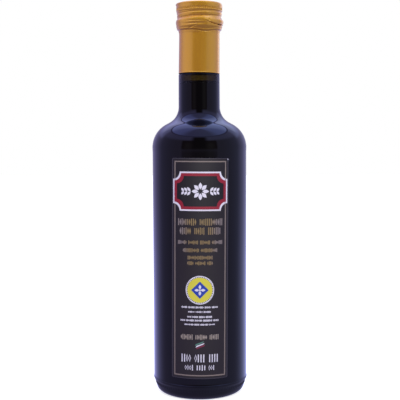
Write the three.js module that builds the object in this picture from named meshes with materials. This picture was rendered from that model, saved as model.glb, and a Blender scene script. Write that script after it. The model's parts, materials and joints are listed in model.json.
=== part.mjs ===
import * as THREE from 'three';

// A tall round bottle of dark glass, filled with vinegar up into its neck, shut by a
// long rolled-on aluminium screw cap, with one paper label on its front.
//
// Millimetres, +Z up. The origin is on the bottle's axis, in the plane it stands on,
// and the label faces -Y. Heights are from that plane.

// Glass, lower part: a bearing ring round a push-up, the heel, a ridge that takes the
// knocks, and the label panel set in above it
const RIDGE_RADIUS = 33.2;
const PANEL_RADIUS = 32.9;
const HEEL_RADIUS = 31.3;
const HEEL_ROUNDING = 5.0;
const RING_WIDTH = 3.2;
const PUSH_UP = 3.5;
const RIB_BAND_TOP = 7.4;         // the slanting band between heel and ridge
const RIB_BAND_RADIUS = 31.6;
const RIDGE_BOTTOM = 8.9;
const RIDGE_TOP = 9.9;
const PANEL_BOTTOM = 11.5;
const PANEL_TOP = 169.5;

// Glass, upper part: the shoulder is a round arc that runs on into a hollow one
const SHOULDER_RADIUS = 33.05;
const SHOULDER_BOTTOM = 173.0;
const SHOULDER_ROUND = 18.0;
const SHOULDER_HOLLOW = 12.0;
const NECK_RADIUS = 14.45;
const NECK_TOP_RADIUS = 14.35;
const NECK_LEDGE = 223.8;         // the step just below the cap's skirt
const LEDGE_BEVEL = 0.5;
const MOUTH = 271.4;
const MOUTH_BEVEL = 1.2;
const BORE_BEVEL = 0.6;

// Glass inside, and what it holds
const WALL = 3.0;
const FLOOR_THICKNESS = 4.2;
const FLOOR_DISH = 1.0;           // how much lower the floor is at its edge
const INNER_HEEL_ROUNDING = 8.0;
const FILL_LEVEL = 218.8;
const LIQUID_GAP = 0.35;

// Screw cap: its outline from the skirt's edge up, as [radius, height]
const SKIRT_EDGE = [14.25, 224.2];
const SKIRT_TOP = [14.1, 251.6];
const TUCK_FOOT = [14.55, 253.4]; // the metal is tucked in under the locking ring
const TUCK_TOP = [15.5, 255.1];
const BAND_BOTTOM = [16.05, 256.2];
const BAND_TOP = [16.05, 257.8];
const BULGE_BOTTOM = [16.35, 258.8];
const BULGE_TOP = [16.3, 260.4];
const NOTCH = [15.4, 261.8];
const THREAD_BOTTOM = [15.65, 262.8];
const THREAD_TOP = [15.7, 266.4];
const GRIP_BOTTOM = [16.0, 267.6];
const CAP_TOP = 272.5;
const CAP_ROUNDING = 0.8;
const CAP_WALL = 0.35;
const FINISH_GAP = 0.4;           // between the cap's metal and the glass under it

// Label
const LABEL_BOTTOM = 16.1;
const LABEL_TOP = 165.8;
const LABEL_HALF_ANGLE = THREE.MathUtils.degToRad(34.9);
const LABEL_CORNER = 2.0;
const LABEL_RADIUS = RIDGE_RADIUS;
const LABEL_THICKNESS = 0.2;

// Fineness of the faceted surfaces
const GLASS_SEGMENTS = 48;
const LIQUID_SEGMENTS = 36;
const LABEL_SPANS = 14;
const CORNER_SPANS = 4;

const materials = {
  glass: new THREE.MeshStandardMaterial({ color: '#15151d', roughness: 0.06, metalness: 0 }),
  liquid: new THREE.MeshStandardMaterial({ color: '#1a0f08', roughness: 0.1, metalness: 0 }),
  cap: new THREE.MeshStandardMaterial({ color: '#b58f47', roughness: 0.35, metalness: 1 }),
  label: new THREE.MeshStandardMaterial({ color: '#2f2b2c', roughness: 0.65, metalness: 0 }),
};

// Points of an arc in the (radius, height) plane. Angles are in degrees, from the
// outward direction towards +Z.
function arc(centreRadius, centreHeight, radius, from, to, steps) {
  return Array.from({ length: steps + 1 }, (_, i) => {
    const angle = THREE.MathUtils.degToRad(from + ((to - from) * i) / steps);
    return [centreRadius + radius * Math.cos(angle), centreHeight + radius * Math.sin(angle)];
  });
}

// A body turned about the bottle's axis. The profile has the material on its left.
function turned(name, profile, segments, material) {
  const points = profile.map(([radius, height]) => new THREE.Vector2(radius, height));
  const geometry = new THREE.LatheGeometry(points, segments);
  geometry.rotateX(Math.PI / 2);
  const mesh = new THREE.Mesh(geometry, material);
  mesh.name = name;
  return mesh;
}

// The shoulder, moved inwards by an inset. Its two arcs keep their centres, so that the
// wall has one thickness all the way up.
function shoulder(inset) {
  const roundCentre = SHOULDER_RADIUS - SHOULDER_ROUND;
  const hollowCentre = NECK_RADIUS + SHOULDER_HOLLOW;
  const across = hollowCentre - roundCentre;
  const up = Math.sqrt((SHOULDER_ROUND + SHOULDER_HOLLOW) ** 2 - across ** 2);
  const meet = THREE.MathUtils.radToDeg(Math.atan2(up, across));
  return [
    ...arc(roundCentre, SHOULDER_BOTTOM, SHOULDER_ROUND - inset, 0, meet, 7),
    ...arc(hollowCentre, SHOULDER_BOTTOM + up, SHOULDER_HOLLOW + inset, 180 + meet, 180, 6).slice(1),
  ];
}

// The base, from the axis over the push-up and the bearing ring to the top of the heel
function base() {
  const ringOuter = HEEL_RADIUS - HEEL_ROUNDING;
  const ringInner = ringOuter - RING_WIDTH;
  const doming = (ringInner ** 2 + PUSH_UP ** 2) / (2 * PUSH_UP);
  const pushUp = [0, 0.3, 0.6, 0.85, 1].map((part) => {
    const r = ringInner * part;
    return [r, PUSH_UP - doming + Math.sqrt(doming ** 2 - r ** 2)];
  });
  return [...pushUp, ...arc(ringOuter, HEEL_ROUNDING, HEEL_ROUNDING, -90, 0, 5)];
}

// The hollow in the glass, from the middle of the floor up to the start of the neck,
// moved inwards by an inset
function hollow(inset) {
  const wallRadius = SHOULDER_RADIUS - WALL - inset;
  const rounding = INNER_HEEL_ROUNDING - inset;
  const floor = PUSH_UP + FLOOR_THICKNESS + inset;
  return [
    [0, floor],
    ...arc(wallRadius - rounding, floor - FLOOR_DISH + rounding, rounding, -90, 0, 5),
    ...shoulder(WALL + inset),
  ];
}

const movedIn = (outline, distance) => outline.map(([radius, height]) => [radius - distance, height]);

// Cap outline below its top, shared by the cap's two faces and by the glass inside it
const rolledIn = [
  SKIRT_TOP, TUCK_FOOT, TUCK_TOP, BAND_BOTTOM, BAND_TOP, BULGE_BOTTOM, BULGE_TOP,
  NOTCH, THREAD_BOTTOM, THREAD_TOP,
];

// Glass bottle, open at the mouth
const bore = NECK_RADIUS - WALL;
const finish = movedIn([[SKIRT_EDGE[0], NECK_LEDGE], ...rolledIn], CAP_WALL + FINISH_GAP);
const lip = finish.at(-1)[0];
const bottle = turned('bottle_glass', [
  ...base(),
  [RIB_BAND_RADIUS, RIB_BAND_TOP],
  [RIDGE_RADIUS, RIDGE_BOTTOM],
  [RIDGE_RADIUS, RIDGE_TOP],
  [PANEL_RADIUS, PANEL_BOTTOM],
  [PANEL_RADIUS, PANEL_TOP],
  ...shoulder(0),
  [NECK_TOP_RADIUS, NECK_LEDGE - LEDGE_BEVEL],
  [NECK_TOP_RADIUS - LEDGE_BEVEL, NECK_LEDGE],
  ...finish,
  [lip, MOUTH - MOUTH_BEVEL],
  [lip - MOUTH_BEVEL, MOUTH],
  [bore + BORE_BEVEL, MOUTH],
  [bore, MOUTH - BORE_BEVEL],
  ...hollow(0).reverse(),
], GLASS_SEGMENTS, materials.glass);

// Vinegar, up to its level in the neck
const vinegar = turned('vinegar', [
  ...hollow(LIQUID_GAP),
  [bore - LIQUID_GAP, FILL_LEVEL],
  [0, FILL_LEVEL],
], LIQUID_SEGMENTS, materials.liquid);

// Screw cap: one sheet of metal, drawn into a cup and rolled against the glass
const capWall = [SKIRT_EDGE, ...rolledIn, GRIP_BOTTOM];
const capEdge = arc(GRIP_BOTTOM[0] - CAP_ROUNDING, CAP_TOP - CAP_ROUNDING, CAP_ROUNDING, 0, 90, 3);
const cap = turned('screw_cap', [
  [0, CAP_TOP - CAP_WALL],
  [GRIP_BOTTOM[0] - CAP_ROUNDING, CAP_TOP - CAP_WALL],
  [GRIP_BOTTOM[0] - CAP_WALL, CAP_TOP - CAP_ROUNDING],
  ...movedIn(capWall, CAP_WALL).reverse(),
  ...capWall,
  ...capEdge,
  [0, CAP_TOP],
], GLASS_SEGMENTS, materials.cap);

// Label: a thin plate that follows the panel, with rounded corners. It is made of
// columns, each with a low and a high point on its inner and on its outer face.
function labelColumns() {
  const corner = LABEL_CORNER / LABEL_RADIUS;
  const flat = LABEL_HALF_ANGLE - corner;
  const left = Array.from({ length: CORNER_SPANS + 1 }, (_, i) => {
    const turn = (i / CORNER_SPANS) * (Math.PI / 2);
    return {
      angle: -LABEL_HALF_ANGLE + corner * (1 - Math.cos(turn)),
      cut: LABEL_CORNER * (1 - Math.sin(turn)),
    };
  });
  const middle = Array.from({ length: LABEL_SPANS - 1 }, (_, i) => (
    { angle: flat * ((2 * (i + 1)) / LABEL_SPANS - 1), cut: 0 }));
  const right = left.map(({ angle, cut }) => ({ angle: -angle, cut })).reverse();
  return [...left, ...middle, ...right];
}

function labelMesh() {
  const columns = labelColumns();
  const positions = columns.flatMap(({ angle, cut }) =>
    [LABEL_RADIUS - LABEL_THICKNESS, LABEL_RADIUS].flatMap((radius) =>
      [LABEL_BOTTOM + cut, LABEL_TOP - cut].flatMap((height) =>
        [radius * Math.sin(angle), -radius * Math.cos(angle), height])));
  // Points of a column: 0 inner low, 1 inner high, 2 outer low, 3 outer high
  const sides = [[2, 3], [3, 1], [1, 0], [0, 2]];
  const index = columns.slice(1).flatMap((_, i) =>
    sides.flatMap(([a, b]) => {
      const here = 4 * i;
      const next = here + 4;
      return [here + a, next + a, next + b, here + a, next + b, here + b];
    }));
  const last = 4 * (columns.length - 1);
  index.push(0, 2, 3, 0, 3, 1);
  index.push(last, last + 1, last + 3, last, last + 3, last + 2);
  const geometry = new THREE.BufferGeometry();
  geometry.setAttribute('position', new THREE.Float32BufferAttribute(positions, 3));
  geometry.setIndex(index);
  geometry.computeVertexNormals();
  const mesh = new THREE.Mesh(geometry, materials.label);
  mesh.name = 'front_label';
  return mesh;
}

const model = new THREE.Group();
model.add(bottle, vinegar, cap, labelMesh());

export default model;
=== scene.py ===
import json
import math
import random

import bmesh
import bpy
from mathutils import Matrix, Vector
from mathutils.geometry import tessellate_polygon

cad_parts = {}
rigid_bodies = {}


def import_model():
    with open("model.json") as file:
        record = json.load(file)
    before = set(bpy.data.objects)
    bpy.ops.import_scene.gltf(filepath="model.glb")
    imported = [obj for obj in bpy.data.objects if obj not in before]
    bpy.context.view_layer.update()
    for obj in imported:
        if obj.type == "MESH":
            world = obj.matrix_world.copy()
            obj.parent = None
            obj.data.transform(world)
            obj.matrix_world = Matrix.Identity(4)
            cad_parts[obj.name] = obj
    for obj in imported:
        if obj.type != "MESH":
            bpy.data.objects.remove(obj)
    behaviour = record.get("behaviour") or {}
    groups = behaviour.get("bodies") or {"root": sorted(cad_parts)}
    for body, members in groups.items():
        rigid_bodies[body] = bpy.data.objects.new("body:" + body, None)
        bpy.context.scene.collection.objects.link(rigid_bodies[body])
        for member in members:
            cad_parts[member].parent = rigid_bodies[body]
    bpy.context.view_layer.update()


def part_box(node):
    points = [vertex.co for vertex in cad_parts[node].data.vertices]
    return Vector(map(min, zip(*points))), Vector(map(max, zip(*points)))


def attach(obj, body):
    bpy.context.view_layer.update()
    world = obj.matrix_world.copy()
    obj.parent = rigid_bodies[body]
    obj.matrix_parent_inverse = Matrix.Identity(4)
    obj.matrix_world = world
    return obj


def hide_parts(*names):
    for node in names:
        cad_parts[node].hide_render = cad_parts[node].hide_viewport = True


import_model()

MM = 0.001

# GLASS BOTTLE
# A tall round half-litre bottle of very dark glass, blown in a two-piece mould. It has a
# push-up base on a bearing ring, short moulded ribs on its heel, a ridge that takes the
# knocks, and a label panel set in above it. Sizes are in millimetres, +Z up, front -Y.
BODY = "root"
GLASS_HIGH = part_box("bottle_glass")[1] / MM
RIDGE_RADIUS = GLASS_HIGH.x
PANEL_RADIUS = RIDGE_RADIUS - 0.3
SHOULDER_RADIUS = RIDGE_RADIUS - 0.15
PUSH_UP = 3.5
RING_INNER, RING_OUTER = 22.6, 25.4
HEEL_ROUNDING = 6.0
PANEL_BOTTOM, PANEL_TOP = 20, 169.5
SHOULDER_BOTTOM = 173.0
SHOULDER_ROUND, SHOULDER_HOLLOW = 18.0, 12.0
NECK_RADIUS = 14.45
NECK_LEDGE = 223.8
MOUTH = GLASS_HIGH.z
WALL = 3.0
HOLLOW_FLOOR = 7.7
HOLLOW_DISH = 1.0
INNER_HEEL_ROUNDING = 8.0
GLASS_COLUMNS = 400


def arc(centre, radius, start, end, steps):
    """Points of an arc in the (radius, height) plane, angles in degrees from outwards to up."""
    angles = [math.radians(start + (end - start) * i / steps) for i in range(steps + 1)]
    return [(centre[0] + radius * math.cos(a), centre[1] + radius * math.sin(a)) for a in angles]


def rounded(points, reach, steps=5):
    """The same open line with its inner corners eased over a reach on each side."""
    line = [points[0]]
    for before, corner, after in zip(points, points[1:], points[2:]):
        before, corner, after = Vector(before), Vector(corner), Vector(after)
        way_in, way_out = before - corner, after - corner
        start = corner + way_in * min(0.5, reach / way_in.length)
        end = corner + way_out * min(0.5, reach / way_out.length)
        for i in range(steps + 1):
            t = i / steps
            line.append(tuple(start * (1 - t) ** 2 + corner * 2 * t * (1 - t) + end * t * t))
    return line + [points[-1]]


def up_to(low, high, step):
    """Even heights from low to high, about a step apart."""
    count = max(1, round((high - low) / step))
    return [low + (high - low) * i / count for i in range(count + 1)]


def turned(name, profile, segments, relief=None):
    """A body turned about the axis. The profile runs from axis to axis with the material on
    its left, and relief(turn, radius, height) adds to a point's radius and height."""
    positions, rings = [], []
    for radius, height in profile:
        rings.append(len(positions))
        for i in range(1 if radius == 0 else segments):
            turn = 2 * math.pi * i / segments
            out, rise = relief(turn, radius, height) if relief and radius else (0, 0)
            positions.append(((radius + out) * MM * math.sin(turn),
                              -(radius + out) * MM * math.cos(turn), (height + rise) * MM))
    faces = []
    for (r_low, _), (r_high, _), low, high in zip(profile, profile[1:], rings, rings[1:]):
        for i in range(segments):
            j = (i + 1) % segments
            a, b = (low, low) if r_low == 0 else (low + i, low + j)
            c, d = (high, high) if r_high == 0 else (high + j, high + i)
            faces.append([a, b, c, d] if a != b and c != d else [a, c, d] if a == b else [a, b, c])
    mesh = bpy.data.meshes.new(name)
    mesh.from_pydata(positions, [], faces)
    mesh.shade_smooth()
    piece = bpy.data.objects.new(name, mesh)
    bpy.context.scene.collection.objects.link(piece)
    return piece


def eased(line, reach=2.6, step=0.65):
    """A smooth line with its changes of curvature spread out, as blown glass has them."""
    lengths = [0.0]
    for (x0, y0), (x1, y1) in zip(line, line[1:]):
        lengths.append(lengths[-1] + math.hypot(x1 - x0, y1 - y0))
    count = round(lengths[-1] / step)
    even, k = [], 0
    for i in range(count + 1):
        want = lengths[-1] * i / count
        while k < len(line) - 2 and lengths[k + 1] < want:
            k += 1
        t = (want - lengths[k]) / (lengths[k + 1] - lengths[k])
        even.append(Vector(line[k]).lerp(Vector(line[k + 1]), t))
    near = round(reach / step)
    smooth = []
    for i in range(count + 1):
        n = min(near, i, count - i)
        smooth.append(tuple(sum(even[i - n:i + n + 1], Vector((0, 0))) / (2 * n + 1)))
    return smooth


def shoulder(inset, steps=(26, 20)):
    """The shoulder's round arc and the hollow arc that leads into the neck."""
    round_centre = (SHOULDER_RADIUS - SHOULDER_ROUND, SHOULDER_BOTTOM)
    across = NECK_RADIUS + SHOULDER_HOLLOW - round_centre[0]
    up = math.sqrt((SHOULDER_ROUND + SHOULDER_HOLLOW) ** 2 - across ** 2)
    hollow_centre = (NECK_RADIUS + SHOULDER_HOLLOW, SHOULDER_BOTTOM + up)
    meet = math.degrees(math.atan2(up, across))
    line = (arc(round_centre, SHOULDER_ROUND - inset, 0, meet, steps[0])
            + arc(hollow_centre, SHOULDER_HOLLOW + inset, 180 + meet, 180, steps[1])[1:])
    return eased(line)


def inner_wall(inset):
    """The hollow from the middle of its floor, a little dished, up to the start of the neck."""
    radius = SHOULDER_RADIUS - WALL - inset
    rounding = INNER_HEEL_ROUNDING - inset
    middle = HOLLOW_FLOOR + inset
    edge = middle - HOLLOW_DISH
    return ([(0, middle), (radius - rounding, edge)]
            + arc((radius - rounding, edge + rounding), rounding, -90, 0, 10)[1:]
            + shoulder(WALL + inset, (16, 12)))


# The outside, from the middle of the push-up over the bearing ring and the heel, the slope
# with the ribs, the ridge, the panel and the shoulder to the finish, slim under the cap
push_up = [(RING_INNER * i / 8, PUSH_UP * (1 - (i / 8) ** 2)) for i in range(8)]
heel = arc((RING_OUTER, HEEL_ROUNDING), HEEL_ROUNDING, -90, -15, 10)
heel_to_panel = rounded([heel[-1], (31.4, 5.6), (31.52, 6.8), (31.8, 7.8), (32.35, 8.7), (32.95, 9.5),
                         (RIDGE_RADIUS, 10.2), (PANEL_RADIUS, 11.7), (PANEL_RADIUS, PANEL_BOTTOM)], 0.8)
finish = [(13.5, NECK_LEDGE), (13.2, 251.6), (13.3, 253.5), (13.7, 256.0), (13.9, 257.8),
          (14.2, 260.4), (14.2, 261.8), (14.3, 266.4), (14.3, MOUTH - 1.2), (13.7, MOUTH),
          (12.05, MOUTH), (11.45, MOUTH - 0.6)]
outer = (push_up
         + rounded([(RING_INNER, 0.0), (RING_INNER + 0.4, 0.0), (RING_OUTER, 0.0)], 0.3)
         + heel[1:] + heel_to_panel[1:-1]
         + [(PANEL_RADIUS, z) for z in up_to(PANEL_BOTTOM, PANEL_TOP, 18)]
         + [(PANEL_RADIUS + 0.1, 171.2)] + shoulder(0)
         + rounded([(NECK_RADIUS - 0.05, 212.0), (14.35, NECK_LEDGE), (13.5, NECK_LEDGE)], 0.5)
         + finish[1:])
glass_piece = turned("bottle_glass_smooth", outer + inner_wall(0)[::-1], GLASS_COLUMNS)


def linear(code):
    """The linear colour, with alpha, of an sRGB hex value such as #20262c."""
    parts = [int(code[i:i + 2], 16) / 255 for i in (1, 3, 5)]
    return [p / 12.92 if p <= 0.04045 else ((p + 0.055) / 1.055) ** 2.4 for p in parts] + [1.0]


def add(tree, kind, inputs=None, **settings):
    """Adds a node with its settings. Inputs maps a socket to its value or to the output it takes."""
    made = tree.nodes.new(kind)
    for name, value in settings.items():
        setattr(made, name, value)
    for socket, value in (inputs or {}).items():
        if isinstance(value, bpy.types.NodeSocket):
            tree.links.new(value, made.inputs[socket])
        else:
            made.inputs[socket].default_value = value
    return made


def new_material(name):
    """A material with an empty node tree."""
    made = bpy.data.materials.new(name)
    made.use_nodes = True
    made.node_tree.nodes.clear()
    return made, made.node_tree


# Soda-lime glass, blown: sharp reflections that waver a little, and so dark a melt that
# only the empty neck lets some olive light through. Nothing comes back through the wall
# where the vinegar stands behind it, so it is opaque and black in itself up to there. At
# the front it is painted black again right below the cap, above a plane that rises to the
# back: a painted shadow of the cap on the neck.
FILL_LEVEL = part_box("vinegar")[1].z / MM
dark_glass, tree = new_material("blown_dark_glass")
place = add(tree, "ShaderNodeTexCoord")
height = add(tree, "ShaderNodeSeparateXYZ", {"Vector": place.outputs["Object"]}).outputs["Z"]
empty = add(tree, "ShaderNodeMapRange", {
    "Value": height, "From Min": (FILL_LEVEL - 2.5) * MM,
    "From Max": (FILL_LEVEL - 1.5) * MM}).outputs["Result"]
above_vinegar = add(tree, "ShaderNodeMapRange", {
    "Value": height, "From Min": (FILL_LEVEL - 1.5) * MM,
    "From Max": (FILL_LEVEL - 1.0) * MM}).outputs["Result"]
slanted = add(tree, "ShaderNodeVectorMath", {0: place.outputs["Object"], 1: (0, -0.12, 1)},
              operation="DOT_PRODUCT").outputs["Value"]
# Painted shadow of the cap: at the front the glass is painted black above a plane that rises to the back
clear_of_painted_cap_shadow = add(tree, "ShaderNodeMapRange", {
    "Value": slanted, "From Min": (FILL_LEVEL + 5.2) * MM,
    "From Max": (FILL_LEVEL + 4.7) * MM}).outputs["Result"]
see_through_unshaded = add(tree, "ShaderNodeMath", {0: above_vinegar, 1: clear_of_painted_cap_shadow},
                  operation="MULTIPLY").outputs[0]
body = add(tree, "ShaderNodeMix", {"Factor": see_through_unshaded, 6: linear("#000000"), 7: linear("#ffffff")},
           data_type="RGBA").outputs[2]
waver = add(tree, "ShaderNodeTexNoise", {"Vector": place.outputs["Object"], "Scale": 42.0, "Detail": 1.0})
bump = add(tree, "ShaderNodeBump", {"Strength": 0.5, "Distance": 0.00016, "Height": waver.outputs["Fac"]})
shader = add(tree, "ShaderNodeBsdfPrincipled", {
    "Base Color": body, "Roughness": 0.015, "IOR": 1.52, "Transmission Weight": empty,
    "Normal": bump.outputs["Normal"]})
melt = add(tree, "ShaderNodeVolumeAbsorption", {"Color": (0.50, 0.43, 0.06, 1.0), "Density": 1250.0})
add(tree, "ShaderNodeOutputMaterial", {"Surface": shader.outputs["BSDF"], "Volume": melt.outputs["Volume"]})


def pressed_ring(piece, material, count, depth, low, high, fade, share, inner):
    """Ribs, or recesses of a negative depth, on a turned piece at even spacing, by Geometry
    Nodes. The mesh beyond the inner radius is moved outwards by the depth, between the two
    heights, over a share of each spacing."""
    tree = bpy.data.node_groups.new("pressed_ring", "GeometryNodeTree")
    values = {"Count": count, "Depth": depth * MM, "Low": low * MM, "High": high * MM,
              "Fade": fade * MM, "Edge": math.cos(math.pi * share), "Inner": inner * MM}
    tree.interface.new_socket("Geometry", in_out="INPUT", socket_type="NodeSocketGeometry")
    sockets = {name: tree.interface.new_socket(name, in_out="INPUT", socket_type="NodeSocketFloat")
               for name in values}
    sockets["Material"] = tree.interface.new_socket("Material", in_out="INPUT",
                                                    socket_type="NodeSocketMaterial")
    tree.interface.new_socket("Geometry", in_out="OUTPUT", socket_type="NodeSocketGeometry")
    given = add(tree, "NodeGroupInput").outputs
    spot = add(tree, "GeometryNodeInputPosition").outputs["Position"]
    axes = add(tree, "ShaderNodeSeparateXYZ", {"Vector": spot}).outputs
    flat = add(tree, "ShaderNodeCombineXYZ", {"X": axes["X"], "Y": axes["Y"]}).outputs["Vector"]
    radius = add(tree, "ShaderNodeVectorMath", {0: flat}, operation="LENGTH").outputs["Value"]
    outwards = add(tree, "ShaderNodeVectorMath", {0: flat}, operation="NORMALIZE").outputs["Vector"]
    turn = add(tree, "ShaderNodeMath", {0: axes["X"], 1: axes["Y"]}, operation="ARCTAN2").outputs[0]
    laps = add(tree, "ShaderNodeMath", {0: turn, 1: given["Count"]}, operation="MULTIPLY").outputs[0]
    wave = add(tree, "ShaderNodeMath", {0: laps}, operation="COSINE").outputs[0]
    around = add(tree, "ShaderNodeMapRange", {"Value": wave, "From Min": given["Edge"]},
                 interpolation_type="SMOOTHSTEP").outputs["Result"]
    low_end = add(tree, "ShaderNodeMath", {0: given["Low"], 1: given["Fade"]}, operation="ADD").outputs[0]
    high_end = add(tree, "ShaderNodeMath", {0: given["High"], 1: given["Fade"]},
                   operation="SUBTRACT").outputs[0]
    rise = add(tree, "ShaderNodeMapRange", {"Value": axes["Z"], "From Min": given["Low"],
               "From Max": low_end}, interpolation_type="SMOOTHSTEP").outputs["Result"]
    fall = add(tree, "ShaderNodeMapRange", {"Value": axes["Z"], "From Min": given["High"],
               "From Max": high_end}, interpolation_type="SMOOTHSTEP").outputs["Result"]
    outside = add(tree, "ShaderNodeMath", {0: radius, 1: given["Inner"]},
                  operation="GREATER_THAN").outputs[0]
    amount = given["Depth"]
    for part in (around, rise, fall, outside):
        amount = add(tree, "ShaderNodeMath", {0: amount, 1: part}, operation="MULTIPLY").outputs[0]
    move = add(tree, "ShaderNodeVectorMath", {0: outwards, "Scale": amount}, operation="SCALE")
    moved = add(tree, "GeometryNodeSetPosition", {"Geometry": given["Geometry"],
                                                  "Offset": move.outputs["Vector"]})
    real = add(tree, "GeometryNodeRealizeInstances", {"Geometry": moved.outputs["Geometry"]})
    finished = add(tree, "GeometryNodeSetMaterial", {"Geometry": real.outputs["Geometry"],
                                                     "Material": given["Material"]})
    add(tree, "NodeGroupOutput", {"Geometry": finished.outputs["Geometry"]})
    pressed = piece.modifiers.new("pressed", "NODES")
    pressed.node_group = tree
    for name, value in values.items():
        pressed[sockets[name].identifier] = float(value)
    pressed[sockets["Material"].identifier] = material
    make_plain(piece)


def make_plain(piece):
    """Replaces a piece's mesh by what its modifiers make of it."""
    result = bpy.data.meshes.new_from_object(
        piece.evaluated_get(bpy.context.evaluated_depsgraph_get()))
    piece.modifiers.clear()
    piece.data = result


# Heel ribs: short upright ribs that the mould leaves on the slope below the ridge
HEEL_RIBS = 100
pressed_ring(glass_piece, dark_glass, HEEL_RIBS, depth=0.4, low=5.0, high=9.2, fade=1.6,
             share=0.5, inner=30.6)
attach(glass_piece, BODY)
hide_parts("bottle_glass")

# VINEGAR
# Dark, almost opaque vinegar that fills the bottle up into its neck. It wets the glass, so
# it reaches just into the wall, and it climbs a little where its surface meets the bore.
WETTING = 0.05
MENISCUS = 0.9
MENISCUS_WIDTH = 1.8
VINEGAR_COLUMNS = 96
bore = NECK_RADIUS - WALL + WETTING
level = [(bore - MENISCUS_WIDTH * i / 8, FILL_LEVEL - MENISCUS * (1 - (1 - i / 8) ** 2.4))
         for i in range(9)]
vinegar_piece = turned("vinegar_fill", inner_wall(-WETTING) + level
                       + [(4.0, level[-1][1]), (0, level[-1][1])], VINEGAR_COLUMNS)

# Reduced grape must is nearly black; towards its surface it is painted brown, a painted light for what
# comes through a thin film of it
black_vinegar, tree = new_material("dark_vinegar")
place = add(tree, "ShaderNodeTexCoord")
height = add(tree, "ShaderNodeSeparateXYZ", {"Vector": place.outputs["Object"]})
# Painted light: brown over the last 1.6 mm below the surface
film = add(tree, "ShaderNodeMapRange", {
    "Value": height.outputs["Z"], "From Min": (FILL_LEVEL - 1.6) * MM, "From Max": FILL_LEVEL * MM})
tone = add(tree, "ShaderNodeMix", {
    "Factor": film.outputs["Result"], 6: linear("#070302"), 7: linear("#2b1508")}, data_type="RGBA")
shader = add(tree, "ShaderNodeBsdfPrincipled", {
    "Base Color": tone.outputs[2], "Roughness": 0.08, "IOR": 1.34, "Specular IOR Level": 0.2})
add(tree, "ShaderNodeOutputMaterial", {"Surface": shader.outputs["BSDF"]})
vinegar_piece.data.materials.append(black_vinegar)
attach(vinegar_piece, BODY)
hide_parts("vinegar")

# SCREW CAP
# A long rolled-on cap of thin gold-lacquered aluminium. Its top is knurled, its thread is
# rolled into the glass thread, and below a locking ring its skirt runs down the neck. The
# metal has buckled a little where the ring is tucked in, most of all at the right.
CAP_FOOT, CAP_TOP = ((corner / MM).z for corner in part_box("screw_cap"))
CAP_RADIUS = 16.02
CAP_ROUNDING = 0.85
CAP_WALL = 0.35
CAP_COLUMNS = 432

# Heights of the bead and the groove under the grip, of the thread at the front and its rise
# in a lap, of the crease where the metal has buckled, and of the tuck under the ring
GRIP_BEAD, GRIP_GROOVE = 267.0, 266.5
THREAD_HEIGHT, THREAD_PITCH = 262.6, 3.0
BUCKLE = 259.0
TUCK = 253.5

# Radius and height of the cap's plain outline, from the skirt's edge up
cap_outline = [(14.28, CAP_FOOT), (14.1, 251.6), (14.5, 253.3), (15.5, 255.1), (16.05, 256.2),
               (16.08, 257.8), (16.35, 258.8), (16.3, 260.2), (15.35, 262.3), (15.5, 263.6),
               (15.74, 265.4), (15.68, 266.5), (16.0, 267.1), (CAP_RADIUS, CAP_TOP)]


def cap_radius(height):
    """The cap's plain outline, averaged over nearby heights, which rounds it as rolled metal is."""
    shifts = (-0.45, -0.3, -0.15, 0, 0.15, 0.3, 0.45)
    total = 0
    for shift in shifts:
        z = min(max(height + shift, cap_outline[0][1]), cap_outline[-1][1])
        for (r0, z0), (r1, z1) in zip(cap_outline, cap_outline[1:]):
            if z <= z1:
                total += r0 + (r1 - r0) * (z - z0) / (z1 - z0)
                break
    return total / len(shifts)


def hump(distance, width):
    """A smooth hump: 1 in its middle, almost 0 at its width."""
    return math.exp(-(1.8 * distance / width) ** 2)


def window(value, low, high, fade):
    """1 between two limits, fading to 0 outside them."""
    return max(0.0, min(1.0, (value - low) / fade, (high - value) / fade))


def rolled(turn, radius, height):
    """What rolling and buckling move a point of the cap by, outwards and upwards. The turn
    grows from the front to the right."""
    if height > 271.5 or radius < 12:
        return 0, 0
    degrees = (math.degrees(turn) + 180) % 360 - 180
    # A bead and a groove under the grip, then two laps of thread
    out = 0.12 * hump(height - GRIP_BEAD, 0.35) - 0.14 * hump(height - GRIP_GROOVE, 0.4)
    for lap in (0, 360):
        along = degrees + lap
        thread = THREAD_HEIGHT + THREAD_PITCH * along / 360
        out -= 0.36 * window(along, -130, 480, 50) * hump(height - thread, 0.95)
    # At the right a crease that falls away from the front. The metal is swollen above it,
    # nicked at its start, pressed in to a hole further round and bent to a facet beyond
    right = window(degrees, 10, 125, 26)
    crease = BUCKLE - 1.9 * (1 - math.exp(-max(0.0, degrees - 20) / 14))
    out -= 0.62 * right * hump(height - crease, 0.55)
    if height > crease:
        out += 0.42 * right * math.exp(-(height - crease) / 1.3)
    out -= 0.9 * hump(degrees - 67, 7) * hump(height - crease, 0.9)
    out -= 0.25 * hump(degrees - 26, 4) * window(height, 258.8, 260.6, 0.6)
    out += 0.46 * window(degrees, 58, 130, 3) * hump(height - 259.8, 2.4)
    # At the front two shallow dents round the ring, a swelling over them and a fold below
    out -= 0.27 * window(degrees, -42, 16, 16) * (hump(height - 259.3, 0.5) + hump(height - 257.3, 0.6))
    out += 0.32 * window(degrees, -42, 30, 18) * hump(height - 261.2, 1.2)
    fold = 254.3 + 0.09 * (degrees + 27)
    out -= 0.28 * window(degrees, -34, 2, 8) * hump(height - fold, 0.5)
    # The tuck under the ring, lowest a little right of the front, with a bead over it
    tuck = TUCK - 1.5 * hump(degrees - 20, 50) + 0.2 * math.sin(3 * turn)
    out += 0.34 * hump(height - tuck - 1.05, 0.75) - 0.26 * hump(height - tuck, 0.5)
    out += 0.03 * math.sin(2 * turn + 1.0) * window(height, 252, 262, 3)
    # A bead on the skirt's edge, and the whole cap leaning to the right, its skirt cut askew
    out += 0.2 * hump(height - CAP_FOOT - 0.25, 0.4)
    out += 0.3 * math.sin(turn) * min(1.0, (height - CAP_FOOT) / 24)
    tilt = -0.17 * math.sin(turn) * window(height, 200, CAP_FOOT + 6, 6)
    return out, tilt


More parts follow.
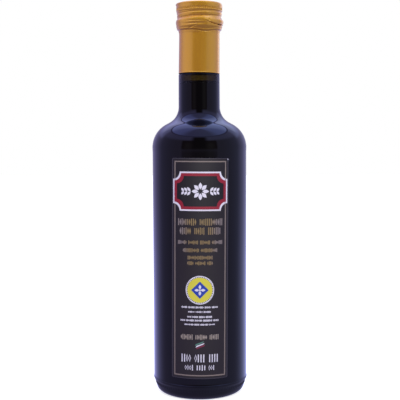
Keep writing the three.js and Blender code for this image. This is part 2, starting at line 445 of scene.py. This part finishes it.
# Heights of the mesh's rings: close where the metal is worked, far apart on the plain skirt
wall_heights = (up_to(CAP_FOOT, CAP_FOOT + 1.2, 0.2) + up_to(CAP_FOOT + 1.5, 250.5, 2.4)
                + up_to(250.8, 266.6, 0.2) + up_to(266.75, 268.8, 0.15) + up_to(269.2, 271.0, 0.45))
outside = [(cap_radius(z), z) for z in wall_heights]
inside = [(cap_radius(z) - CAP_WALL, z) for z in wall_heights[::3]]
rim = arc((CAP_RADIUS - CAP_ROUNDING, CAP_TOP - CAP_ROUNDING), CAP_ROUNDING, 0, 90, 8)
cap_piece = turned("gold_screw_cap", (
    [(0, CAP_TOP - CAP_WALL), (14.9, CAP_TOP - CAP_WALL), (15.6, CAP_TOP - 0.9)]
    + inside[::-1] + outside + rim + [(14.0, CAP_TOP), (7.0, CAP_TOP), (0, CAP_TOP)]),
    CAP_COLUMNS, rolled)

# Lacquered aluminium: a warm gold metal under a clear coat, faintly drawn along its
# length by the press, so that its colour and its gloss shift in soft upright streaks
gold, tree = new_material("gold_lacquered_aluminium")
place = add(tree, "ShaderNodeTexCoord")
drawn = add(tree, "ShaderNodeMapping", {"Vector": place.outputs["Object"], "Scale": (260.0, 260.0, 14.0)})
streaks = add(tree, "ShaderNodeTexNoise", {"Vector": drawn.outputs["Vector"], "Scale": 1.0, "Detail": 2.0})
grain = add(tree, "ShaderNodeTexNoise", {"Vector": place.outputs["Object"], "Scale": 900.0, "Detail": 2.0})
tone = add(tree, "ShaderNodeMix", {
    "Factor": streaks.outputs["Fac"], 6: linear("#e4a025"), 7: linear("#f2af32")}, data_type="RGBA")
gloss = add(tree, "ShaderNodeMapRange", {
    "Value": streaks.outputs["Fac"], "To Min": 0.42, "To Max": 0.52})
bump = add(tree, "ShaderNodeBump", {"Strength": 0.3, "Distance": 0.00004, "Height": grain.outputs["Fac"]})
shader = add(tree, "ShaderNodeBsdfPrincipled", {
    "Base Color": tone.outputs[2], "Metallic": 1.0, "Roughness": gloss.outputs["Result"],
    "Coat Weight": 0.8, "Coat Roughness": 0.2, "Coat IOR": 1.6, "Normal": bump.outputs["Normal"]})
add(tree, "ShaderNodeOutputMaterial", {"Surface": shader.outputs["BSDF"]})

# Knurls: a ring of short upright recesses that give the fingers hold
KNURLS = 72
pressed_ring(cap_piece, gold, KNURLS, depth=-0.4, low=267.3, high=268.9, fade=0.3,
             share=0.55, inner=12.0)

# Inside the cap the metal is bare of lacquer and dull, and painted near-black: painted shade where no light
# gets in
painted_dark_inside, tree = new_material("dull_painted_dark_cap_inside")
place = add(tree, "ShaderNodeTexCoord")
blotches = add(tree, "ShaderNodeTexNoise", {
    "Vector": place.outputs["Object"], "Scale": 300.0, "Detail": 2.0})
tone = add(tree, "ShaderNodeMix", {
    "Factor": blotches.outputs["Fac"], 6: linear("#0b0907"), 7: linear("#14100b")}, data_type="RGBA")
shader = add(tree, "ShaderNodeBsdfPrincipled", {
    "Base Color": tone.outputs[2], "Roughness": 0.8, "Specular IOR Level": 0.1})
add(tree, "ShaderNodeOutputMaterial", {"Surface": shader.outputs["BSDF"]})
cap_piece.data.materials.append(painted_dark_inside)
for face in cap_piece.data.polygons:
    spot, way = face.center, face.normal
    if spot.x * way.x + spot.y * way.y < 0 or way.z < -0.9:
        face.material_index = 1
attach(cap_piece, BODY)
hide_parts("screw_cap")

# FRONT LABEL
# A narrow label of coated paper, printed dark to within a millimetre of its cut edge and
# stuck on a little askew. Its inks are drawn as thin layers, one over the other. Places on
# it are given flat, in millimetres to the right of its middle and up from there.
LABEL_LOW, LABEL_HIGH = (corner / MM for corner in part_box("front_label"))
LABEL_MIDDLE = (LABEL_LOW.z + LABEL_HIGH.z) / 2
LABEL_HALF_HEIGHT = (LABEL_HIGH.z - LABEL_LOW.z) / 2
LABEL_HALF_WIDTH = 20.3
LABEL_CORNER = 1.2
LABEL_LEAN = math.radians(0.49)
LABEL_SHIFT = 0.07
UNROLLING_RADIUS = 33.05
PAPER_BACK = PANEL_RADIUS + 0.03
PAPER_FRONT = PANEL_RADIUS + 0.1
INK_LAYER = 0.03
INK_SINK = 0.01


def on_bottle(across, up, radius):
    """The place on the bottle of a point of the flat label, measured from its middle."""
    u = across * math.cos(LABEL_LEAN) + up * math.sin(LABEL_LEAN) + LABEL_SHIFT
    v = up * math.cos(LABEL_LEAN) - across * math.sin(LABEL_LEAN)
    turn = u / UNROLLING_RADIUS
    return Vector((radius * math.sin(turn), -radius * math.cos(turn), LABEL_MIDDLE + v)) * MM


def printed(name, shapes, back, front, material):
    """A thin curved piece of the label. Each shape is a flat outline, then its holes. Upright
    cuts a millimetre apart let it bend round the bottle."""
    flat = bmesh.new()
    for loops in shapes:
        corners = [flat.verts.new((x, y, 0)) for loop in loops for x, y in loop]
        for a, b, c in tessellate_polygon([[Vector((x, y, 0)) for x, y in loop] for loop in loops]):
            (ax, ay, _), (bx, by, _), (cx, cy, _) = (corners[i].co for i in (a, b, c))
            area = (bx - ax) * (cy - ay) - (cx - ax) * (by - ay)
            if abs(area) > 1e-9:
                flat.faces.new([corners[i] for i in ((a, b, c) if area > 0 else (a, c, b))])
    bmesh.ops.remove_doubles(flat, verts=flat.verts, dist=1e-5)
    reach = max(abs(vertex.co.x) for vertex in flat.verts)
    for step in range(int(-reach), int(reach) + 1):
        bmesh.ops.bisect_plane(flat, geom=flat.verts[:] + flat.edges[:] + flat.faces[:],
                               plane_co=(step, 0, 0), plane_no=(1, 0, 0))
    flat.verts.index_update()
    count = len(flat.verts)
    points = [on_bottle(vertex.co.x, vertex.co.y, radius)
              for radius in (front, back) for vertex in flat.verts]
    faces = [[vertex.index for vertex in face.verts] for face in flat.faces]
    faces += [[count + i for i in reversed(face)] for face in faces]
    for face in flat.faces:
        for loop in face.loops:
            if loop.edge.is_boundary:
                a, b = loop.vert.index, loop.link_loop_next.vert.index
                faces.append([b, a, count + a, count + b])
    flat.free()
    mesh = bpy.data.meshes.new(name)
    mesh.from_pydata(points, [], faces)
    mesh.shade_smooth()
    mesh.set_sharp_from_angle(angle=math.radians(30))
    piece = bpy.data.objects.new(name, mesh)
    bpy.context.scene.collection.objects.link(piece)
    mesh.materials.append(material)
    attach(piece, BODY)
    return piece


def box(half_width, half_height, x=0.0, y=0.0, corner=0.0, hollow=False):
    """A rectangle with square corners, or with rounded or hollow ones of a given radius."""
    if corner == 0:
        return [(x - half_width, y - half_height), (x + half_width, y - half_height),
                (x + half_width, y + half_height), (x - half_width, y + half_height)]
    points = []
    for quarter, (sx, sy) in enumerate(((1, 1), (-1, 1), (-1, -1), (1, -1))):
        for i in range(9):
            angle = math.radians(90 * (quarter + (1 - i / 8 if hollow else i / 8)) + (180 if hollow else 0))
            inset = 0 if hollow else corner
            points.append((x + sx * (half_width - inset) + corner * math.cos(angle),
                           y + sy * (half_height - inset) + corner * math.sin(angle)))
    return points


def circle(radius, x=0.0, y=0.0, points=64):
    """A circle, or what passes for one."""
    return [(x + radius * math.cos(2 * math.pi * i / points),
             y + radius * math.sin(2 * math.pi * i / points)) for i in range(points)]


def lozenge(half_width, half_height, x=0.0, y=0.0):
    """An upright diamond."""
    return [(x - half_width, y), (x, y - half_height), (x + half_width, y), (x, y + half_height)]


def petal(length, half_width, x, y, angle, start=0.0):
    """A leaf with two pointed ends, that begins at a distance from a point, along its angle."""
    along, beside = Vector((math.cos(angle), math.sin(angle))), Vector((-math.sin(angle), math.cos(angle)))
    sides = [(i / 8, math.sin(math.pi * i / 8)) for i in range(9)]
    line = [(t, -w) for t, w in sides] + [(t, w) for t, w in sides[-2:0:-1]]
    return [(Vector((x, y)) + along * (start + t * length) + beside * w * half_width).to_tuple()
            for t, w in line]


def ink(name, code, gloss=0.5, specular=0.5, painted_turn=None):
    """Offset ink on coated paper, a little mottled by the paper's tooth, half matt. Its colour may
    shift into another as painted shade or sheen: (axis, from, to, colour), in millimetres from the middle
    plane."""
    made, tree = new_material(name)
    place = add(tree, "ShaderNodeTexCoord")
    tooth = add(tree, "ShaderNodeTexNoise", {"Vector": place.outputs["Object"], "Scale": 1800.0,
                                             "Detail": 2.0})
    share = 0.0
    if painted_turn:
        along = add(tree, "ShaderNodeSeparateXYZ", {"Vector": place.outputs["Object"]}).outputs[painted_turn[0]]
        away = add(tree, "ShaderNodeMath", {0: along}, operation="ABSOLUTE").outputs[0]
        share = add(tree, "ShaderNodeMapRange", {"Value": away, "From Min": painted_turn[1] * MM,
                    "From Max": painted_turn[2] * MM}, interpolation_type="SMOOTHSTEP").outputs["Result"]
    full = add(tree, "ShaderNodeMix", {"Factor": share, 6: linear(code),
                                       7: linear(painted_turn[3] if painted_turn else code)}, data_type="RGBA")
    worn = add(tree, "ShaderNodeMapRange", {"Value": tooth.outputs["Fac"], "To Min": 0.86})
    tone = add(tree, "ShaderNodeMix", {"Factor": 1.0, 6: full.outputs[2], 7: worn.outputs["Result"]},
               data_type="RGBA", blend_type="MULTIPLY")
    bump = add(tree, "ShaderNodeBump", {"Strength": 0.25, "Distance": 0.00002,
                                        "Height": tooth.outputs["Fac"]})
    shader = add(tree, "ShaderNodeBsdfPrincipled", {
        "Base Color": tone.outputs[2], "Roughness": gloss, "Specular IOR Level": specular,
        "Normal": bump.outputs["Normal"]})
    add(tree, "ShaderNodeOutputMaterial", {"Surface": shader.outputs["BSDF"]})
    return made


# The sheet itself, whose own colour shows only along its cut edge
paper = printed("label_paper_sheet",
                [[box(LABEL_HALF_WIDTH, LABEL_HALF_HEIGHT, corner=LABEL_CORNER)]],
                PAPER_BACK, PAPER_FRONT, ink("coated_paper_cut_edge", "#3c383d"))
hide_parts("front_label")


def layer(number):
    """Back and front radius of a layer of ink, sunk a little into the one below."""
    return PAPER_FRONT + INK_LAYER * (number - 1) - INK_SINK, PAPER_FRONT + INK_LAYER * number


UNPRINTED_SIDE, UNPRINTED_END = 0.9, 0.54
# Painted shade and sheen: the dark field's ink is painted darker towards its top and lighter towards its
# foot, for how the light falls on it
printed("print_dark_field", [[box(LABEL_HALF_WIDTH - UNPRINTED_SIDE, LABEL_HALF_HEIGHT - UNPRINTED_END)]],
        *layer(1), ink("dark_label_ink", "#2b2525", painted_turn=("Z", 50, 160, "#201b1b")))

# At its top right corner a small pale patch lies over the dark field
corner_x, corner_y = LABEL_HALF_WIDTH - 1.0, LABEL_HALF_HEIGHT - 0.9
printed("label_bare_corner", [[[(corner_x, corner_y + 0.5), (corner_x + 0.5, corner_y - 0.5),
                                (corner_x + 0.9, corner_y - 0.4), (corner_x + 0.6, corner_y + 0.5)]]],
        *layer(2), ink("pale_corner_patch", "#cfcbd2"))

# Bronze and gold print: a fine border, two large rows, four finer ones and a closing one.
# The rows are ornament, upright strokes and diamonds in groups, and say nothing.
bronze = ink("bronze_label_ink", "#8f8174")
# Painted sheen: the gold ink is painted greyer and more lavender from 6 to 13 mm out to both sides, for its
# reflection round the curve
gold_print = ink("gold_label_ink", "#937c4e", painted_turn=("X", 6, 13, "#94877f"))
pale_bronze = ink("pale_bronze_label_ink", "#aea18f")
BORDER_HALF_WIDTH, BORDER_HALF_HEIGHT, BORDER_LINE = 17.85, 72.55, 0.8


def row(height, half_width, size, groups, seed, stroke, gap, x=0.0, outlined=0.0):
    """A row of upright strokes and diamonds in groups, centred at x. The seed sets how wide
    its groups are and which marks are diamonds, solid or outlined by a line of a given width."""
    draw = random.Random(seed)
    weights = [draw.uniform(0.7, 1.4) for _ in range(groups)]
    space = size * 0.42
    room = 2 * half_width - space * (groups - 1)
    shapes, left = [], x - half_width
    for weight in weights:
        width = room * weight / sum(weights)
        count = max(2, round(width / (stroke + gap)))
        pitch = width / count
        for i in range(count):
            centre = left + pitch * (i + 0.5)
            tall = 0.5 if draw.random() < 0.75 else 0.42
            if draw.random() < 0.35:
                shapes.append([lozenge(pitch * 0.48, size * tall, centre, height)])
                if outlined:
                    shapes[-1].append(lozenge(pitch * 0.48 - outlined, size * tall - 1.6 * outlined,
                                              centre, height)[::-1])
            else:
                shapes.append([box(pitch * stroke / (stroke + gap) / 2, size * tall, centre, height)])
        left += width + space
    return shapes


def from_foot(z):
    """A height above the bottle's foot, as one above the label's middle."""
    return z - LABEL_MIDDLE


border = [box(BORDER_HALF_WIDTH + half_line, BORDER_HALF_HEIGHT + half_line)
          for half_line in (BORDER_LINE / 2, -BORDER_LINE / 2)]
printed("print_bronze_border", [[border[0], border[1][::-1]]], *layer(2), bronze)
gold_rows = []
for z, half_width, size, groups, seed, stroke, gap in (
        (122.97, 15.7, 4.7, 2, 3, 0.7, 0.6), (116.91, 14.3, 4.9, 3, 4, 0.7, 0.6),
        (109.25, 15.6, 2.6, 4, 5, 0.6, 0.3), (103.92, 11.9, 2.6, 2, 6, 0.6, 0.3),
        (98.98, 8.6, 2.5, 1, 7, 0.65, 0.3), (95.19, 8.8, 2.5, 3, 8, 0.65, 0.3)):
    gold_rows += row(from_foot(z), half_width, size, groups, seed, stroke, gap)
printed("print_gold", gold_rows, *layer(2), gold_print)
printed("print_closing_row", row(from_foot(44.84), 13.3, 3.6, 3, 9, 0.55, 0.5), *layer(2), pale_bronze)

# White print: five fine rows under the roundel and two larger rows at the foot
white = ink("white_label_ink", "#eeeaec")
white_rows = []
for z, half_width, size, groups, seed in (
        (65.22, 12.7, 1.35, 5, 11), (62.11, 7.8, 1.2, 3, 12), (58.66, 8.5, 1.35, 4, 13),
        (56.24, 13.2, 1.35, 5, 14), (53.43, 10.5, 1.2, 4, 15)):
    white_rows += row(from_foot(z), half_width, size, groups, seed, 0.5, 0.12, -0.2)
white_rows += row(from_foot(30.32), 13.1, 5.4, 3, 23, 0.85, 1.15, outlined=0.42)
white_rows += row(from_foot(23.82), 10.4, 3.9, 3, 24, 0.7, 0.95, outlined=0.34)

# Plaque: a ticket with scooped corners, a white rim and a red band round a dark field,
# with a rosette between two sprigs
PLAQUE_HALF_WIDTH, PLAQUE_HALF_HEIGHT, PLAQUE_SCOOP = 19.3, 13.2, 5.0
RIM, BAND = 1.05, 1.9
plaque_y = from_foot(143.6)
plaque = [box(PLAQUE_HALF_WIDTH - inset, PLAQUE_HALF_HEIGHT - inset, 0, plaque_y, PLAQUE_SCOOP, True)
          for inset in (0, RIM, RIM + BAND)]
rosette = [[petal(4.6, 1.25, 0, plaque_y, math.radians(45 * i), 1.3)] for i in range(8)]
sprigs = [[petal(3.6 - 0.35 * i, 0.85, side * (6.6 + 2.3 * i), plaque_y,
                 math.radians(90 - side * 90 + side * spread))]
          for side in (1, -1) for i in range(3) for spread in (50, -50)]
printed("print_white", white_rows + [[plaque[0], plaque[1][::-1]]] + rosette + sprigs, *layer(2), white)
printed("print_red", [[plaque[1], plaque[2][::-1]]], *layer(3), ink("red_label_ink", "#9c2030"))
printed("print_plaque_field", [[plaque[2]]], *layer(1), ink("black_label_ink", "#171416"))

# Roundel: a white rim with small dark beads along its inner edge, a yellow field, and a
# blue diamond that carries a white flower
ROUNDEL_RADIUS, FIELD_RADIUS, DIAMOND_RADIUS = 9.75, 8.55, 5.9
BEADS, BEAD_RADIUS, BEADS_RADIUS = 46, 0.36, 8.85
roundel_y = from_foot(76.95)
printed("print_roundel_rim",
        [[circle(ROUNDEL_RADIUS, 0, roundel_y), circle(FIELD_RADIUS, 0, roundel_y)[::-1]]],
        *layer(2), white)
printed("print_yellow", [[circle(FIELD_RADIUS, 0, roundel_y)]],
        *layer(2), ink("yellow_label_ink", "#e9df46"))
printed("print_blue", [[lozenge(DIAMOND_RADIUS, DIAMOND_RADIUS, 0, roundel_y)]],
        *layer(3), ink("blue_label_ink", "#2443ac"))
bead_turns = [math.pi * i / BEADS for i in range(0, 2 * BEADS, 2)]
printed("print_beads", [[circle(BEAD_RADIUS, BEADS_RADIUS * math.cos(turn),
                                roundel_y + BEADS_RADIUS * math.sin(turn), 8)] for turn in bead_turns],
        *layer(4), ink("navy_label_ink", "#20243f"))
flower = [[petal(3.2, 0.9, 0, roundel_y, math.radians(90 * i), 0.5)] for i in range(4)]
printed("print_flower", flower + [[circle(0.55, 0, roundel_y, 16)]], *layer(4), white)

# Three slanted stripes under the closing bronze row
stripes_y, STRIPE_PITCH = from_foot(39.4), 1.15
for i, (name, material) in enumerate((("print_green", ink("green_label_ink", "#5d8f78")),
                                      ("print_stripe_white", white),
                                      ("print_stripe_red", ink("stripe_red_label_ink", "#8e2f47")))):
    y = stripes_y + STRIPE_PITCH * (1 - i)
    printed(name, [[[(-3.2 + 0.4 * i, y - 1.7), (2.2 + 0.4 * i, y + 0.5), (2.9 + 0.4 * i, y + 1.6),
                     (-2.6 + 0.4 * i, y - 0.5)]]], *layer(2), material)

# FLOOR
# A white sweep that the bottle stands on, lit from within like a light table, and painted
# darker under the bottle itself as a contact shadow. It neither lights the bottle nor shows in it.
FLOOR_REACH = 4
floor_mesh = bpy.data.meshes.new("floor")
floor_mesh.from_pydata([(x * FLOOR_REACH, y * FLOOR_REACH, 0)
                        for x, y in ((-1, -1), (1, -1), (1, 1), (-1, 1))], [], [(0, 1, 2, 3)])
floor = bpy.data.objects.new("floor", floor_mesh)
bpy.context.scene.collection.objects.link(floor)
sweep, tree = new_material("white_sweep")
place = add(tree, "ShaderNodeTexCoord")
reach = add(tree, "ShaderNodeVectorMath", {0: place.outputs["Object"]}, operation="LENGTH").outputs["Value"]
# Painted contact shadow: the floor gives off less light within about 30 mm of the bottle's axis
glow_with_painted_shadow = add(tree, "ShaderNodeMapRange", {"Value": reach, "From Min": 20 * MM, "From Max": 30 * MM,
                                        "To Min": 0.3, "To Max": 0.86}).outputs["Result"]
shader = add(tree, "ShaderNodeBsdfPrincipled", {
    "Base Color": linear("#b4b4b4"), "Roughness": 0.9, "Emission Color": linear("#ffffff"),
    "Emission Strength": glow_with_painted_shadow})
add(tree, "ShaderNodeOutputMaterial", {"Surface": shader.outputs["BSDF"]})
floor_mesh.materials.append(sweep)
floor.visible_diffuse = floor.visible_glossy = floor.visible_transmission = False

# LIGHT
# A cool studio: a wide overhead light that ends in a round rim, bright sheets behind the
# bottle, pale walls and table, and before it a dark stand with the camera. Lamps add to it,
# one for the label and the floor, and five in tints of their own for the gold cap alone.

# The room's colour at some azimuths, in degrees from the front, alike at right and left
ROOM = ((0, (0.26, 0.25, 0.40)), (60, (0.26, 0.25, 0.41)), (105, (0.28, 0.29, 0.53)),
        (120, (0.42, 0.42, 0.78)), (142, (0.50, 0.50, 0.95)), (160, (0.46, 0.46, 0.76)),
        (180, (0.40, 0.40, 0.60)))

# Cards before the room, each over those above it in the list: its colour, the azimuths and
# the elevations that it spans, and how soft its edges are in both
CARDS = (
    ("table", (0.27, 0.27, 0.49), (0, 180), (-90, -10), (1, 3)),
    ("rear table", (0.84, 0.92, 1.8), (124, 180), (-20, -7), (32, 5)),
    ("upper walls", (0.45, 0.46, 0.92), (0, 130), (30, 90), (12, 6)),
    ("rear haze", (0.76, 0.83, 1.6), (116, 180), (22, 50), (8, 4)),
    ("rear sheets", (1.2, 1.35, 2.3), (133, 167), (29, 50), (5, 4)),
    ("front overhead", (0.48, 0.52, 1.12), (0, 180), (47, 90), (1, 1.2)),
    ("side overhead", (0.78, 0.95, 2.3), (55, 180), (48, 90), (22, 1.5)),
    ("rear overhead", (1.15, 1.4, 2.9), (112, 180), (48, 90), (14, 1.5)),
    ("overhead rim", (0.27, 0.27, 0.6), (0, 180), (45.2, 47.6), (1, 0.8)),
    ("stand frame", (0.10, 0.08, 0.10), (0, 44), (-4, 27), (3, 3)),
    ("stand", (0.15, 0.135, 0.15), (0, 36), (-4, 20), (7, 5)),
    ("camera", (0.07, 0.06, 0.075), (0, 19), (-4, 44), (8, 5)),
)
LEFT_TINT = (0.94, 0.86, 0.95)
PEAK = 4.0          # a colour of 1 in the nodes stands for this much light
world = bpy.data.worlds.new("studio")
bpy.context.scene.world = world
world.use_nodes = True
tree = world.node_tree
tree.nodes.clear()
place = add(tree, "ShaderNodeTexCoord")
axes = add(tree, "ShaderNodeSeparateXYZ", {"Vector": place.outputs["Generated"]}).outputs
sideways = add(tree, "ShaderNodeMath", {0: axes["X"]}, operation="ABSOLUTE").outputs[0]
forwards = add(tree, "ShaderNodeMath", {0: axes["Y"], 1: -1.0}, operation="MULTIPLY").outputs[0]
azimuth = add(tree, "ShaderNodeMath", {0: sideways, 1: forwards}, operation="ARCTAN2").outputs[0]
part_turn = add(tree, "ShaderNodeMath", {0: azimuth, 1: 1 / math.pi}, operation="MULTIPLY").outputs[0]
elevation = add(tree, "ShaderNodeMath", {0: axes["Z"]}, operation="ARCSINE").outputs[0]
ramp = add(tree, "ShaderNodeValToRGB", {"Fac": part_turn})
for i, (turn, colour) in enumerate(ROOM):
    stop = ramp.color_ramp.elements[i] if i < 2 else ramp.color_ramp.elements.new(1.0)
    stop.position = turn / 180
    stop.color = [channel / PEAK for channel in colour] + [1.0]
radiance = ramp.outputs["Color"]
for _, colour, across, up, softness in CARDS:
    edges = []
    for angle, (low, high), (least, most), soft in ((azimuth, across, (0, 180), softness[0]),
                                                    (elevation, up, (-90, 90), softness[1])):
        if low > least:
            edges.append((angle, low - soft, low + soft))
        if high < most:
            edges.append((angle, high + soft, high - soft))
    share = None
    for angle, start, end in edges:
        edge = add(tree, "ShaderNodeMapRange", {"Value": angle, "From Min": math.radians(start),
                   "From Max": math.radians(end)}, interpolation_type="SMOOTHSTEP").outputs["Result"]
        share = edge if share is None else add(
            tree, "ShaderNodeMath", {0: share, 1: edge}, operation="MULTIPLY").outputs[0]
    radiance = add(tree, "ShaderNodeMix", {
        "Factor": share, 6: radiance, 7: [channel / PEAK for channel in colour] + [1.0]},
        data_type="RGBA").outputs[2]

# What comes from the left is a little dimmer and more purple
side = add(tree, "ShaderNodeMapRange", {"Value": axes["X"], "From Min": -0.25, "From Max": 0.25})
tint = add(tree, "ShaderNodeMix", {"Factor": side.outputs["Result"], 6: [*LEFT_TINT, 1.0],
                                   7: linear("#ffffff")}, data_type="RGBA")
radiance = add(tree, "ShaderNodeMix", {"Factor": 1.0, 6: radiance, 7: tint.outputs[2]},
               data_type="RGBA", blend_type="MULTIPLY").outputs[2]

# The camera sees plain white behind it all, straight or through the neck's empty glass
studio = add(tree, "ShaderNodeBackground", {"Color": radiance, "Strength": PEAK})
backdrop = add(tree, "ShaderNodeBackground", {"Color": linear("#ffffff"), "Strength": 1.0})
rays = add(tree, "ShaderNodeLightPath").outputs
unreflected = add(tree, "ShaderNodeMath", {0: rays["Glossy Depth"], 1: 0.5},
                  operation="LESS_THAN").outputs[0]
through = add(tree, "ShaderNodeMath", {0: rays["Is Transmission Ray"], 1: unreflected},
              operation="MULTIPLY").outputs[0]
straight = add(tree, "ShaderNodeMath", {0: rays["Is Camera Ray"], 1: through},
               operation="MAXIMUM").outputs[0]
both = add(tree, "ShaderNodeMixShader", {0: straight, 1: studio.outputs[0], 2: backdrop.outputs[0]})
add(tree, "ShaderNodeOutputWorld", {"Surface": both.outputs[0]})


def softbox(name, place, aim, size, power, pieces, colour=(1, 1, 1)):
    """A square lamp of a size in metres and a power in watts, aimed at a point. The camera
    can't see it, and it lights only the given pieces."""
    lamp = bpy.data.lights.new(name, "AREA")
    lamp.size, lamp.energy, lamp.color = size, power, colour
    light = bpy.data.objects.new(name, lamp)
    light.location = place
    light.rotation_euler = (Vector(aim) - Vector(place)).to_track_quat("-Z", "Y").to_euler()
    bpy.context.scene.collection.objects.link(light)
    light.visible_camera = False
    lit = bpy.data.collections.new("lit_by_" + name)
    for piece in pieces:
        lit.objects.link(piece)
    light.light_linking.receiver_collection = lit


label_pieces = [piece for piece in bpy.data.objects if piece.name.startswith(("label", "print"))]
softbox("front_softbox", (0.12, -0.75, 0.62), (0, 0, 0.13), 0.6, 6.6, [floor] + label_pieces)
for name, place, aim, size, power, colour in (
        ("left_cap_lamp", (-0.90, -0.28, 0.50), (0, 0, 0.24), 1.4, 2.8, (0.92, 1.0, 1.0)),
        ("right_cap_lamp", (0.90, -0.28, 0.50), (0, 0, 0.24), 1.4, 2.1, (0.82, 1.0, 0.9)),
        ("rear_cap_lamp", (0.54, 0.76, 0.40), (0, 0, 0.25), 0.4, 0.5, (1.0, 0.95, 0.7)),
        ("top_cap_lamp", (0, -0.45, 1.1), (0, 0, 0.25), 1.5, 5.4, (0.8, 1.0, 0.7)),
        ("front_cap_lamp", (0.05, -0.95, 0.30), (0, 0, 0.25), 0.8, 0.45, (1.0, 0.78, 0.4))):
    softbox(name, place, aim, size, power, [cap_piece], colour)
bpy.context.scene.view_settings.view_transform = "Standard"

# CAMERA
# A short telephoto view from 0.6 m, at two thirds of the bottle's height, looking a
# little down, with a quarter of a degree of roll.
lens = bpy.data.cameras.new("camera")
lens.sensor_width = 36.0
lens.lens = 76.5
camera = bpy.data.objects.new("camera", lens)
camera.location = (0.00027, -0.6, 0.176)
camera.rotation_euler = (Matrix.Rotation(math.radians(86.15), 3, "X")
                         @ Matrix.Rotation(math.radians(-0.24), 3, "Z")).to_euler()
bpy.context.scene.collection.objects.link(camera)
bpy.context.scene.camera = camera
